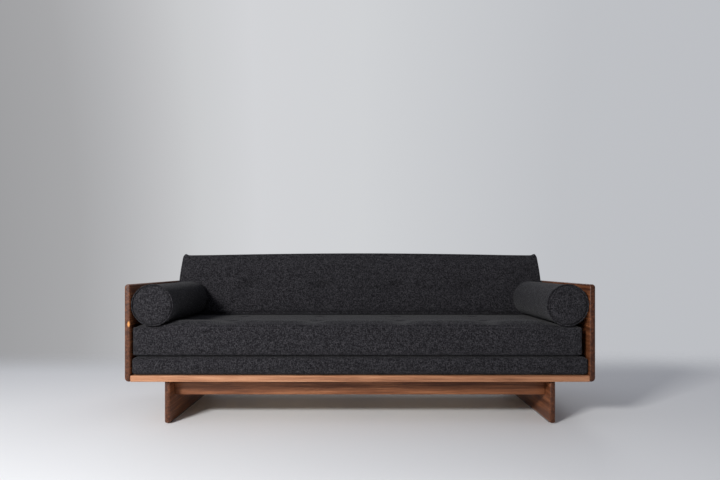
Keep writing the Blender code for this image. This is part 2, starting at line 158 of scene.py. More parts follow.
def walnut(name, grain, heart, tones=WALNUT_TONES, paleness_and_painted_shade=0.0, drift=0.0, painted_light_spot=None):
    """Oiled walnut cut from a log whose middle runs through heart, along the axis grain. The
    end grain drinks more oil, so it is darker. lighter is how much paler the board is; on the side
    boards and the legs its darkening is painted shade. drift is painted shade: how much paler the
    board gets in a metre along X. sapwood is the middle of a painted patch of light, a small pale
    orange spot."""
    material, tree, shader, place = new_material(name)
    from_heart = add_node(tree, "VectorMath", {0: place, 1: heart}, operation="SUBTRACT")
    turned = {"Vector": from_heart.outputs[0], "Rotation": GRAIN_TURNS[grain]}
    log = add_node(tree, "Mapping", turned).outputs[0]
    bend = drawn_noise(tree, log, (4.0, 4.0, 0.9), 2.0)
    bent = stray(tree, log, bend, (0.09, 0.09, 0.0))
    rings = add_node(
        tree,
        "TexWave",
        {"Vector": bent, "Scale": 52.0, "Distortion": 0.0},
        wave_type="RINGS",
        rings_direction="Z",
        wave_profile="SAW",
    ).outputs["Fac"]
    fibre = drawn_noise(tree, bent, (260.0, 260.0, 5.0), 4.0, Roughness=0.62).outputs["Fac"]
    pores = drawn_noise(tree, log, (1150.0, 1150.0, 42.0), 1.0).outputs["Fac"]
    streak = drawn_noise(tree, log, (85.0, 85.0, 3.2), 3.0).outputs["Fac"]
    # The board's tone shift, paler or darker. On the side boards and the legs the darkening is
    # painted shade.
    tone = calculate(tree, "MULTIPLY_ADD", rings, 0.26, paleness_and_painted_shade - 0.43)
    tone = calculate(tree, "MULTIPLY_ADD", fibre, 0.75, tone)
    tone = calculate(tree, "MULTIPLY_ADD", streak, 1.15, tone)
    open_pore = map_range(tree, pores, 0.60, 0.72)
    tone = calculate(tree, "MULTIPLY_ADD", open_pore, -0.22, tone)
    facing = add_node(tree, "SeparateXYZ", {0: add_node(tree, "NewGeometry").outputs["Normal"]})
    along_grain = calculate(tree, "ABSOLUTE", facing.outputs[grain])
    tone = calculate(tree, "MULTIPLY_ADD", map_range(tree, along_grain, 0.45, 0.95), -0.26, tone)
    # Painted shade: the tone falls off along X, darker away from the window's light.
    if drift:
        across = add_node(tree, "SeparateXYZ", {0: place}).outputs["X"]
        tone = calculate(tree, "MULTIPLY_ADD", across, drift, tone)
    colour = tone_ramp(tree, tone, tones)
    # Painted light: a small pale orange spot mixed in around its middle, a patch of light on the
    # edge.
    if painted_light_spot:
        middle = tuple(-part / size for part, size in zip(painted_light_spot, LIGHT_SPOT_SIZE))
        scale = tuple(1 / size for size in LIGHT_SPOT_SIZE)
        near = add_node(tree, "Mapping", {"Vector": place, "Scale": scale, "Location": middle})
        streak = add_node(tree, "TexGradient", {0: near.outputs[0]}, gradient_type="SPHERICAL")
        pale = map_range(tree, streak.outputs["Fac"], 0.1, 0.55)
        mixed = {"Factor": pale, "A": colour, "B": LIGHT_SPOT_COLOUR}
        colour = add_node(tree, "Mix", mixed, data_type="RGBA").outputs["Result"]
    rough = map_range(tree, fibre, 0.3, 0.7, 0.36, 0.50)
    surface = calculate(tree, "MULTIPLY_ADD", open_pore, -0.8, fibre)
    finish_surface(tree, shader, colour, surface, rough, Strength=0.30, Distance=0.0003)
    shader.inputs["Specular IOR Level"].default_value = 0.28
    return material


def settle(name):
    """Names the piece just made, and applies its place, its turn and its size."""
    piece = bpy.context.object
    piece.name = piece.data.name = name
    bpy.ops.object.transform_apply(location=True, rotation=True, scale=True)
    return piece


def add_block(name, low, high):
    """A closed block between two corners, as its own selected mesh."""
    bpy.ops.object.select_all(action="DESELECT")
    low, high = Vector(low), Vector(high)
    bpy.ops.mesh.primitive_cube_add(size=1.0, location=(low + high) / 2, scale=high - low)
    return settle(name)


def select_only(piece):
    """Selects one piece and makes it active."""
    bpy.ops.object.select_all(action="DESELECT")
    piece.select_set(True)
    bpy.context.view_layer.objects.active = piece


def set_mode(mode):
    bpy.ops.object.mode_set(mode=mode)


def deselect_mesh():
    """Leaves no part of the active mesh selected."""
    set_mode("EDIT")
    bpy.ops.mesh.select_all(action="DESELECT")
    set_mode("OBJECT")


def bevel_where(piece, chosen, width, steps):
    """Rounds the edges both of whose ends chosen(place) picks."""
    deselect_mesh()
    places = [vert.co for vert in piece.data.vertices]
    for edge in piece.data.edges:
        edge.select = all(chosen(places[index]) for index in edge.vertices)
    set_mode("EDIT")
    bpy.ops.mesh.select_mode(type="EDGE")
    bpy.ops.mesh.bevel(offset=width, segments=steps, affect="EDGES")
    set_mode("OBJECT")


def apply_modifier(piece, kind, **settings):
    """Adds a modifier to the piece and applies it."""
    step = piece.modifiers.new(kind.lower(), kind)
    for name, value in settings.items():
        setattr(step, name, value)
    bpy.context.view_layer.objects.active = piece
    bpy.ops.object.modifier_apply(modifier=step.name)


def ease_edges(piece, width, steps=ROUND_STEPS):
    """Rounds every sharp edge of a piece and shades it smooth."""
    apply_modifier(
        piece,
        "BEVEL",
        width=width,
        segments=steps,
        limit_method="ANGLE",
        angle_limit=math.radians(40),
        use_clamp_overlap=False,
    )
    select_only(piece)
    bpy.ops.object.shade_smooth_by_angle(angle=math.radians(30))


def stand_for(piece, node, body, material):
    """Puts a finished piece in the place of a CAD node."""
    piece.data.materials.append(material)
    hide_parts(node)
    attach(piece, body)


def make_side_panel(word, side):
    low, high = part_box("side_panel_" + word)
    panel = add_block(word + "_side_board", low, high)
    outer = max(low.x, high.x) if side > 0 else min(low.x, high.x)
    for height, corner in ((high.z, TOP_CORNER), (low.z, BOTTOM_CORNER)):
        bevel_where(
            panel,
            lambda place: abs(place.x - outer) < 1e-5 and abs(place.z - height) < 1e-5,
            corner,
            ROUND_STEPS + 2,
        )
    ease_edges(panel, BOARD_EDGE)
    heart = (outer + side * 0.12, 0.0, 0.36 + side * 0.22)
    # Painted shade: both side boards are darker, the right one more, for the shade on their inner
    # faces and towards the right end. The left board also gets the painted patch of light on its
    # inner front edge.
    painted_light_spot = (low.x + LIGHT_SPOT_INSET, low.y, LIGHT_SPOT_HEIGHT) if side < 0 else None
    wood = walnut(word + "_side", "Y", heart, paleness_and_painted_shade=-0.12 - 0.06 * side, painted_light_spot=painted_light_spot)
    stand_for(panel, "side_panel_" + word, "frame", wood)


make_side_panel("left", -1)
make_side_panel("right", 1)


# ---------------------------------------------------------------- back panel
# The back is a third board of the same walnut, between the two sides. The back cushion leans
# on its top edge. Its grain runs along the daybed.
def make_board(name, node, grain, heart, edge=BOARD_EDGE, paleness_and_painted_shade=0.0):
    piece = add_block(name, *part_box(node))
    ease_edges(piece, edge)
    stand_for(piece, node, "frame", walnut(name, grain, heart, paleness_and_painted_shade=paleness_and_painted_shade))


make_board("back_board", "back_panel", "X", (0.0, 0.62, 0.05))


# ---------------------------------------------------------------- platform rails and bearers
# The front rail is a strip of paler walnut with crisp edges, level with the sides, with painted
# shade that darkens it towards its right end. The back rail, the end rails and the bearers are
# plain walnut, out of sight below the deck, painted darker as shade.
RAIL_TONES = (
    (0.00, (0.105, 0.0400, 0.0180)),
    (0.30, (0.215, 0.0900, 0.0430)),
    (0.55, (0.330, 0.1420, 0.0700)),
    (0.80, (0.440, 0.2080, 0.1080)),
    (1.00, (0.560, 0.3000, 0.1700)),
)
RAIL_EDGE = 0.0025
# Painted shade: the walnut tones at four fifths, for the parts that stand in shade under the deck
# and the platform.
SHADED_WALNUT_TONES = tuple((at, tuple(0.8 * c for c in colour)) for at, colour in WALNUT_TONES)


def make_front_rail():
    low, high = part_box("front_rail")
    rail = add_block("front_rail_strip", low, high)
    ease_edges(rail, RAIL_EDGE)
    heart = (0.0, -0.30, 0.60)
    # Painted shade: drift darkens the rail towards its right end, away from the light.
    pale = walnut("pale_rail", "X", heart, tones=RAIL_TONES, paleness_and_painted_shade=-0.05, drift=-0.10)
    stand_for(rail, "front_rail", "frame", pale)


def finish_node(name, material):
    """Gives a CAD node its material."""
    mesh = frame["nodes"][name].data
    mesh.materials.clear()
    mesh.materials.append(material)


make_front_rail()
back_rail_wood = walnut("back_rail_wood", "X", (0.0, 0.50, 0.15), tones=SHADED_WALNUT_TONES)
finish_node("back_rail", back_rail_wood)
bearer_wood = walnut("bearer_wood", "Y", (0.3, 0.0, 0.32), tones=SHADED_WALNUT_TONES)
for hidden in ("end_rail_left", "end_rail_right", "bearer_left", "bearer_centre", "bearer_right"):
    finish_node(hidden, bearer_wood)


# ---------------------------------------------------------------- deck board
# The deck is a thin sheet of birch plywood, sawn to size. It drops into a rebate in the rails
# and rests on the bearers. Its plies show at the edge.
PLY = 0.0015


def make_plywood():
    material, tree, shader, place = new_material("birch_plywood")
    grain = drawn_noise(tree, place, (2.0, 26.0, 26.0), 5.0, Distortion=0.6).outputs["Fac"]
    height = add_node(tree, "SeparateXYZ", {0: place}).outputs["Z"]
    plies = calculate(tree, "PINGPONG", height, PLY)
    tone = calculate(tree, "MULTIPLY_ADD", plies, 120.0, grain)
    tones = ((0.3, (0.36, 0.24, 0.13)), (0.5, (0.52, 0.38, 0.23)), (0.75, (0.62, 0.48, 0.31)))
    colour = tone_ramp(tree, tone, tones)
    finish_surface(tree, shader, colour, grain, 0.6, Strength=0.2, Distance=0.0004)
    return material


finish_node("deck_board", make_plywood())


# ---------------------------------------------------------------- base
# Two walnut boards on edge are the legs. They run from front to back, a little short of the
# platform, with rounded uprights and ends. Two stretchers tie them, let in behind the fronts.
LEG_EDGE = 0.008
STRETCHER_EDGE = 0.004

# Painted shade: both legs are a little darker, and the right leg more than the left, for the light
# falling off towards the right.
make_board("left_leg_board", "leg_panel_left", "Y", (-1.15, 0.0, 0.42), LEG_EDGE, -0.03)
make_board("right_leg_board", "leg_panel_right", "Y", (1.12, 0.0, -0.20), LEG_EDGE, -0.12)
front_heart = (0.0, -0.05, -0.28)
make_board("front_stretcher_board", "front_stretcher", "X", front_heart, STRETCHER_EDGE, 0.02)
make_board("back_stretcher_board", "back_stretcher", "X", (0.0, 0.60, -0.20), STRETCHER_EDGE)
cleat_wood = walnut("cleat_wood", "Y", (0.2, 0.0, 0.05), tones=SHADED_WALNUT_TONES)
for hidden in ("leg_cleat_left", "leg_cleat_right"):
    finish_node(hidden, cleat_wood)


# ---------------------------------------------------------------- felt strips
# A strip of dark felt, pressed from wool and cut with a knife, is glued under each leg board
# so that the daybed slides without marking a floor.
def make_felt():
    material, tree, shader, place = new_material("pressed_felt")
    inputs = {"Vector": place, "Scale": 900.0, "Detail": 4.0}
    fluff = add_node(tree, "TexNoise", inputs).outputs["Fac"]
    tones = ((0.3, (0.035, 0.032, 0.030)), (0.7, (0.095, 0.088, 0.080)))
    finish_surface(tree, shader, tone_ramp(tree, fluff, tones), fluff, 0.95, Distance=0.0006)
    shader.inputs["Sheen Weight"].default_value = 0.4
    return material


felt = make_felt()
for strip in ("felt_strip_left", "felt_strip_right"):
    finish_node(strip, felt)


# ---------------------------------------------------------------- bolts and screws
# Zinc-plated steel bolts and screws, bought in. They hold the sides, the back and the base to
# the platform from inside, where they don't show.
def make_plated_steel(name, dark, light, roughness):
    material, tree, shader, place = new_material(name)
    cloud = add_node(tree, "TexNoise", {"Vector": place, "Scale": 260.0, "Detail": 3.0})
    colour = tone_ramp(tree, cloud.outputs["Fac"], ((0.35, dark), (0.65, light)))
    tree.links.new(colour, shader.inputs["Base Color"])
    shader.inputs["Metallic"].default_value = 1.0
    wear = map_range(tree, cloud.outputs["Fac"], 0.0, 1.0, roughness - 0.1, roughness + 0.1)
    tree.links.new(wear, shader.inputs["Roughness"])
    return material


zinc = make_plated_steel("zinc_plate", (0.40, 0.40, 0.39), (0.60, 0.60, 0.57), 0.35)
for node in frame["nodes"]:
    if "_bolt_" in node or "_screw_" in node:
        finish_node(node, zinc)


# ---------------------------------------------------------------- base pad
# The deck carries an upholstered pad: foam glued to the plywood, under a charcoal wool that is
# pulled over it and stapled. The wool is a coarse plain weave of heathered yarn, with paler
# flecks, and it has a soft nap.
YARN = 0.0028
YARN_RUN = 3.0
WOOL_TONES = (
    (0.00, (0.0040, 0.0038, 0.0046)),
    (0.30, (0.0090, 0.0086, 0.0101)),
    (0.55, (0.0157, 0.0150, 0.0172)),
    (0.80, (0.0262, 0.0251, 0.0285)),
    (1.00, (0.0520, 0.0496, 0.0540)),
)
PAD_VOXEL = 0.013
PAD_SWELL = 0.002
PAD_END_ROUND = 0.010
PAD_CORNER_ROUND = 0.004
PAD_TOP_ROUND = 0.006
PAD_CORNER_FILL = 0.007


def make_wool():
    """The weave follows the weave map, whose unit is a metre of cloth."""
    material, tree, shader, _ = new_material("charcoal_wool_cloth")
    cloth = add_node(tree, "UVMap", uv_map="weave").outputs[0]
    drift = add_node(tree, "TexNoise", {"Vector": cloth, "Scale": 60.0, "Detail": 1.0})
    strayed = stray(tree, cloth, drift, (0.0022, 0.0022, 0.0))
    counted = {"Vector": strayed, "Scale": (1 / YARN, 1 / YARN, 1.0)}
    threads = add_node(tree, "Mapping", counted).outputs[0]
    split = add_node(tree, "SeparateXYZ", {0: threads})
    across, along = split.outputs["X"], split.outputs["Y"]
    over = add_node(tree, "TexChecker", {"Vector": threads, "Scale": 1.0}).outputs["Fac"]
    under = calculate(tree, "SUBTRACT", 1.0, over)
    heights, yarns = [], []
    for position, other, on_top in ((across, along, over), (along, across, under)):
        part = calculate(tree, "FRACT", position)
        hump = calculate(tree, "SINE", calculate(tree, "MULTIPLY", part, math.pi))
        lift = calculate(tree, "MULTIPLY_ADD", on_top, 0.5, 0.5)
        heights.append(calculate(tree, "MULTIPLY", hump, lift))
        count = calculate(tree, "FLOOR", position)
        start = calculate(tree, "SINE", calculate(tree, "MULTIPLY", count, 12.9))
        runs = calculate(tree, "DIVIDE", other, YARN_RUN)
        run = calculate(tree, "FLOOR", calculate(tree, "MULTIPLY_ADD", start, 3.1, runs))
        yarn = add_node(tree, "CombineXYZ", {"X": count, "Y": run, "Z": 3.7 + len(yarns)})
        drawn = add_node(tree, "TexWhiteNoise", {"Vector": yarn.outputs[0]})
        yarns.append(drawn.outputs["Value"])
    height = calculate(tree, "MAXIMUM", *heights)
    pick = calculate(tree, "GREATER_THAN", *heights)
    yarn = add_node(tree, "Mix", {"Factor": pick, "A": yarns[1], "B": yarns[0]}).outputs[0]
    along_slub = drawn_noise(tree, cloth, (150.0, 400.0, 1.0), 1.0).outputs["Fac"]
    across_slub = drawn_noise(tree, cloth, (400.0, 130.0, 1.0), 1.0).outputs["Fac"]
    slub = calculate(tree, "MAXIMUM", along_slub, across_slub)
    heather = add_node(tree, "TexNoise", {"Vector": cloth, "Scale": 48.0, "Detail": 2.0})
    tone = calculate(tree, "MULTIPLY_ADD", yarn, 0.95, -1.54)
    tone = calculate(tree, "MULTIPLY_ADD", slub, 2.45, tone)
    tone = calculate(tree, "MULTIPLY_ADD", heather.outputs["Fac"], 0.34, tone)
    # Painted shade between yarns: the tone rises with each yarn's height, so the yarns' sides and
    # the gaps between them are darker.
    tone = calculate(tree, "MULTIPLY_ADD", height, 0.10, tone)
    fuzz = add_node(tree, "TexNoise", {"Vector": cloth, "Scale": 1900.0, "Detail": 2.0})
    surface = calculate(tree, "MULTIPLY_ADD", fuzz.outputs["Fac"], 0.35, height)
    colour = tone_ramp(tree, tone, WOOL_TONES)
    finish_surface(tree, shader, colour, surface, 0.95, Strength=0.6, Distance=0.0008)
    shader.inputs["Specular IOR Level"].default_value = 0.08
    shader.inputs["Sheen Weight"].default_value = 0.05
    shader.inputs["Sheen Roughness"].default_value = 0.5
    return material


def ease(value, low, high):
    """0 below low and 1 above high, with a smooth rise between. value may be an array."""
    part = np.clip((value - low) / (high - low), 0.0, 1.0)
    return part * part * (3 - 2 * part)


def points_of(mesh):
    """A mesh's points and their outward directions, one row each."""
    places, outward = np.empty(3 * len(mesh.vertices)), np.empty(3 * len(mesh.vertices))
    mesh.vertices.foreach_get("co", places)
    mesh.vertices.foreach_get("normal", outward)
    return places.reshape(-1, 3), outward.reshape(-1, 3)


def move_points(piece, places):
    piece.data.vertices.foreach_set("co", places.ravel())
    piece.data.update()


def remesh(piece, voxel):
    """An even mesh over the whole piece, which cloth and seams need."""
    apply_modifier(piece, "REMESH", mode="VOXEL", voxel_size=voxel)


def fill_cover(piece, held, reach, pressure=4.0, frames=20):
    """Swells a cover with cloth under pressure. held is how firmly each point is held, from 0
    to 1, and reach is the furthest that each may move."""
    start = points_of(piece.data)[0]
    grip = piece.vertex_groups.new(name="held")
    for index, hold in enumerate(held):
        grip.add([index], float(hold), "REPLACE")
    step = piece.modifiers.new("cloth", "CLOTH")
    step.settings.vertex_group_mass = "held"
    step.settings.use_pressure = True
    step.settings.uniform_pressure_force = pressure
    step.settings.effector_weights.gravity = 0.0
    step.settings.quality = 4
    step.settings.tension_stiffness = step.settings.compression_stiffness = 12.0
    step.settings.bending_stiffness = 0.8
    step.point_cache.frame_end = frames
    for number in range(1, frames + 1):
        scene.frame_set(number)
    swollen = piece.evaluated_get(bpy.context.evaluated_depsgraph_get())
    shift = points_of(swollen.data)[0] - start
    piece.modifiers.remove(step)
    piece.vertex_groups.remove(grip)
    length = np.linalg.norm(shift, axis=1)
    shift *= np.minimum(1.0, reach / np.maximum(length, 1e-9))[:, None]
    move_points(piece, start + shift)
    scene.frame_set(1)


def cut_lines(piece, point, normal, offsets, near):
    """Cuts lines into a cover along planes, where near(middles) picks its faces."""
    point, normal = Vector(point), Vector(normal)
    bpy.context.view_layer.objects.active = piece
    for offset in offsets:
        middles = np.empty(3 * len(piece.data.polygons))
        piece.data.polygons.foreach_get("center", middles)
        set_mode("EDIT")
        bpy.ops.mesh.select_mode(type="FACE")
        bpy.ops.mesh.select_all(action="DESELECT")
        set_mode("OBJECT")
        piece.data.polygons.foreach_set("select", near(middles.reshape(-1, 3)))
        set_mode("EDIT")
        bpy.ops.mesh.bisect(plane_co=point + offset * normal, plane_no=normal)
        set_mode("OBJECT")


SEAM_LINES = (-0.0044, -0.0018, 0.0018, 0.0044)
SEAM_DEPTH = 0.0038


def draw_in_seam(piece, point, normal, near, depth):
    """Draws the cover in along a seam that cut_lines has cut."""
    places, outward = points_of(piece.data)
    offset = np.abs((places - np.array(point)) @ np.array(normal)) / SEAM_LINES[-1]
    share = np.where(near(places), 1 - ease(offset, 0.40, 1.0), 0)
    move_points(piece, places - outward * (depth * share)[:, None])


def sew(piece, seams, normal, near, depth=SEAM_DEPTH, zip_line=None, across=None, zip_near=None):
    """Cuts a cover's seams, and the lines of its zip, then smooths it and draws the seams in."""
    for seam in seams:
        cut_lines(piece, seam, normal, SEAM_LINES, near)
    if zip_line:
        cut_lines(piece, zip_line, across, ZIP_LINES, zip_near)
    smooth_cover(piece)
    for seam in seams:
        draw_in_seam(piece, seam, normal, near, depth)


def smooth_cover(piece):
    """One subdivision over the whole cover, shaded smooth."""
    apply_modifier(piece, "SUBSURF", levels=1, render_levels=1)
    select_only(piece)
    bpy.ops.object.shade_smooth()


def lay_weave(piece, panels):
    """Maps the weave. panels(places, normals, middles) gives each point's place on the cloth."""
    mesh = piece.data
    weave = mesh.uv_layers.new(name="weave")
    places = points_of(mesh)[0]
    corners = np.empty(len(mesh.loops), int)
    mesh.loops.foreach_get("vertex_index", corners)
    counts = np.empty(len(mesh.polygons), int)
    mesh.polygons.foreach_get("loop_total", counts)
    by_face = []
    for kind in ("normal", "center"):
        values = np.empty(3 * len(mesh.polygons))
        mesh.polygons.foreach_get(kind, values)
        by_face.append(np.repeat(values.reshape(-1, 3), counts, axis=0))
    laid = panels(places[corners], *by_face)
    weave.data.foreach_set("uv", np.asarray(laid, dtype=np.float32).ravel())


def stretch_to(places, low, high, axes):
    """Stretches a cover along the given axes until it fills its room again."""
    for axis in axes:
        line = places[:, axis]
        wide = (high[axis] - low[axis]) / (line.max() - line.min())
        places[:, axis] = low[axis] + (line - line.min()) * wide


def fill_corners(places, low, high, amount):
    """Squares up a cover's two front corners by up to amount, so the front is full to its ends."""
    x, y = places.T[:2]
    front = 1 - ease(y - low.y, 0.0, 0.030)
    from_end = np.minimum(x - low.x, high.x - x)
    outward = np.sign(x - (low.x + high.x) / 2)
    x += outward * amount * front * (1 - ease(from_end, 0.004, 0.040))


def box_panels(places, normals, middles):
    """A box cushion's panels: top and bottom, front and back, and the two ends."""
    x, y, z = places.T
    tilt = np.abs(normals)
    ends = (tilt[:, 0] > tilt[:, 1]) & (tilt[:, 0] > tilt[:, 2])
    level = ~ends & (tilt[:, 2] > tilt[:, 1])
    return np.stack((np.where(ends, y + 3.0, x), np.where(level, y, z + 1.0)), axis=1)


wool = make_wool()


def make_base_pad():
    low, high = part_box("base_pad_cover")
    swell = Vector((PAD_SWELL, PAD_SWELL, 0))
    pad = add_block("base_pad_wool", low + swell, high - swell)

    def at_end(place):
        return abs(place.x) > high.x - 0.01

    def at_top(place):
        return place.z > high.z - 1e-5

    bevel_where(pad, lambda place: at_end(place) and at_top(place), PAD_END_ROUND, 4)
    bevel_where(pad, at_end, PAD_CORNER_ROUND, 2)
    bevel_where(pad, lambda place: at_top(place) and not at_end(place), PAD_TOP_ROUND, 2)
    remesh(pad, PAD_VOXEL)
    y, z = points_of(pad.data)[0].T[1:]
    low_edge = 1 - ease(z, low.z + 0.006, low.z + 0.018)
    under_seat = ease(z, high.z - 0.006, high.z - 0.001) * ease(y, -0.385, -0.36)
    fill_cover(pad, np.maximum(low_edge, under_seat), np.full(len(z), 1.5 * PAD_SWELL))
    smooth_cover(pad)
    places = points_of(pad.data)[0]
    stretch_to(places, low, high, (0, 1, 2))
    fill_corners(places, low, high, PAD_CORNER_FILL)
    move_points(pad, places)
    lay_weave(pad, box_panels)
    stand_for(pad, "base_pad_cover", "frame", wool)


make_base_pad()


# ---------------------------------------------------------------- foam cores
# The pad, the cushions and the bolsters are filled with pale polyurethane foam with fine open
# cells, cut from block. The pad's core is glued down, and the others are loose in their covers.
def make_foam():
    material, tree, shader, place = new_material("open_cell_foam")
    cells = add_node(tree, "TexVoronoi", {"Vector": place, "Scale": 700.0}).outputs["Distance"]
    tones = ((0.1, (0.78, 0.73, 0.55)), (0.7, (0.60, 0.55, 0.38)))
    finish_surface(tree, shader, tone_ramp(tree, cells, tones), cells, 0.95, Distance=0.0006)
    return material


foam = make_foam()
for node in frame["nodes"]:
    if node.endswith("_foam"):
        finish_node(node, foam)


# ---------------------------------------------------------------- seat cushion
# A box cushion 140 mm thick: a top and a bottom panel of wool sewn to a band round the sides,
# over foam in wadding. Covered buttons pull the top down in two rows of four. The cloth rises
# between them, and lies flat where the bolsters and the back cushion rest.
SEAT_VOXEL = 0.0115
SEAT_CROWN = 0.0215
CROWN_FROM_FRONT = (0, 0.02, 0.05, 0.072, 0.095, 0.14, 0.18, 0.227, 0.30, 0.36, 0.43, 0.492, 0.56)
CROWN_SHARE = (0, 0.38, 0.90, 1, 0.94, 0.64, 0.44, 0.34, 0.42, 0.40, 0.29, 0.16, 0)
SEAT_SWELL = 0.003
SEAT_CORNER = 0.010
SEAT_CORNER_FILL = 0.009
SEAT_ROUND = 0.006
SEAT_ZIP_REACH = 0.995
SEAT_PULL = 0.002
SEAT_FRONT_LIFT = 0.0025
SEAM_INSET = 0.0035
SEAM_REACH = 0.022
TUFT_DEPTH = 0.0085
TUFT_REACH = 0.085
ZIP_LINES = (-0.0062, -0.0040, 0.0040, 0.0062)


def press_zip(piece, point, outward, across, near):
    """Sinks the strip of cloth that a zip's tape lies in, between two folded lips."""
    places = points_of(piece.data)[0]
    offset = np.abs((places - np.array(point)) @ np.array(across))
    depth = 0.0036 * (1 - ease(offset, 0.0040, 0.0062)) - 0.0004 * ease(offset, 0.004, 0.0062)
    share = np.where(near(places) & (offset < 0.0075), depth, 0)
    move_points(piece, places - np.outer(share, np.array(outward)))


def make_seat():
    low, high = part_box("seat_cover")
    inset = Vector((SEAT_SWELL, SEAT_SWELL, 0))
    seat = add_block("seat_cushion_wool", low + inset, high - inset)
    middle = (low + high) / 2
    for end_x in (low.x + SEAT_SWELL, high.x - SEAT_SWELL):
        bevel_where(seat, lambda place: abs(place.x - end_x) < 1e-5, SEAT_CORNER, 4)
    bevel_where(seat, lambda place: low.x + 0.01 < place.x < high.x - 0.01, SEAT_ROUND, 2)
    remesh(seat, SEAT_VOXEL)
    buttons = [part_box(f"seat_button_{number}") for number in range(1, 9)]
    buttons = [(first + last) / 2 for first, last in buttons]
    rolls = [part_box(f"bolster_{word}_cover") for word in ("left", "right")]
    lines = [(first.x + last.x) / 2 for first, last in rolls]
    back_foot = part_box("back_cover")[0].y

    def to_button(places):
        x, y = places.T[:2]
        return np.min([np.hypot(x - button.x, y - button.y) for button in buttons], axis=0)

    def free_top(places):
        """1 where the top panel is free to rise, 0 under the bolsters and the back cushion."""
        x, y = places.T[:2]
        from_bolster = np.minimum(abs(x - lines[0]), abs(x - lines[1]))
        from_end = np.minimum(x - low.x, high.x - x)
        open_y = 1 - ease(y, back_foot - 0.075, back_foot - 0.005)
        return ease(from_bolster, 0.004, 0.085) * open_y * ease(from_end, 0.10, 0.20)

    def top_share(places):
        return ease(places[:, 2], high.z - 0.014, high.z - 0.003)

    def crown_of(places):
        """How full the top is: least over a button, and lower in line with each pair of them."""
        x, y = places.T[:2]
        crown = free_top(places) * np.interp(y - low.y, CROWN_FROM_FRONT, CROWN_SHARE)
        from_column = np.min([abs(x - button.x) for button in buttons], axis=0)
        crown *= 1 - 0.58 * np.exp(-((from_column / 0.055) ** 2))
        distance = to_button(places)
        close = 0.62 * (1 - ease(distance, 0.008, 0.040))
        wide = 0.38 * (1 - ease(distance, 0.01, TUFT_REACH))
        return crown * (1 - close - wide)

    places = points_of(seat.data)[0]
    z = places[:, 2]
    crown = crown_of(places)
    dip = TUFT_DEPTH * (1 - ease(to_button(places), 0.009, 0.034))
    z += (0.35 * SEAT_CROWN * crown - dip) * top_share(places)
    move_points(seat, places)

    above = top_share(places)
    below = 1 - ease(z, low.z + 0.004, low.z + 0.014)
    at_button = above * (1 - ease(to_button(places), 0.008, 0.016))
    covered = above * (1 - ease(free_top(places), 0.0, 0.25))
    held = np.maximum.reduce((below, at_button, covered))
    reach = SEAT_SWELL * (1 - above) + above * 0.12 * SEAT_CROWN * crown
    fill_cover(seat, held, reach)

    def near_rim(points):
        x, y = points.T[:2]
        to_side = np.minimum(x - low.x, high.x - x)
        return np.minimum(to_side, np.minimum(y - low.y, high.y - y)) < SEAM_REACH

    def on_rear(points):
        return (high.y - points[:, 1] < 0.012) & (abs(points[:, 0] - middle.x) < SEAT_ZIP_REACH)

    upward = (0, 0, 1)
    zip_line = (0, high.y, sum(box.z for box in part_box("seat_zip")) / 2)
    seams = [(0, 0, high.z - SEAM_INSET), (0, 0, low.z + SEAM_INSET)]
    sew(seat, seams, upward, near_rim, zip_line=zip_line, across=upward, zip_near=on_rear)

    places = points_of(seat.data)[0]
    stretch_to(places, low, high, (0, 1))
    x, y, z = places.T
    near_top = ease(z, high.z - 0.006, high.z - 0.001)
    z += 0.55 * SEAT_CROWN * crown_of(places) * near_top
    half = (high - low) / 2
    x_part = (x - middle.x) / half.x
    y_part = (y - middle.y) / half.y
    y += SEAT_PULL * (1 - x_part**2) * ease(-y_part, 0.9, 1.0)
    x -= np.sign(x_part) * SEAT_PULL * (1 - y_part**2) * ease(abs(x_part), 0.97, 1.0)
    z += (low.z - z.min()) * (1 - ease(z, low.z, middle.z))
    front_edge = 1 - ease(y - low.y, 0.0, 0.035)
    z += SEAT_FRONT_LIFT * front_edge * (1 - ease(z, low.z, low.z + 0.03))
    fill_corners(places, low, high, SEAT_CORNER_FILL)
    move_points(seat, places)
    press_zip(seat, zip_line, (0, 1, 0), upward, on_rear)
    lay_weave(seat, box_panels)
    stand_for(seat, "seat_cover", "seat_cushion", wool)


make_seat()


# ---------------------------------------------------------------- back cushion
# A box cushion made like the seat, with one row of four buttons. It stands on the seat and
# leans back. Its top is fullest in the middle, and its corners stand up as small ears.
BACK_VOXEL = 0.0115
BACK_THICKNESS = 0.135
BACK_SLANT = 0.3489
BACK_CROWN = 0.012
BACK_TOP_RISE = 0.0145
BACK_SWELL = 0.003
BACK_TUFT_REACH = 0.045
EAR = 0.0085
BACK_SIDE_PULL = 0.017
BACK_CORNER = 0.013
BACK_ROUND = 0.005
BACK_FOOT = 0.18487
BACK_ZIP_HEIGHT = 0.060
BACK_ZIP_REACH = 1.01
back_axis = Vector(frame["record"]["behaviour"]["joints"][1]["axis"])
BACK_LEAN = math.atan2(back_axis.y, back_axis.z)


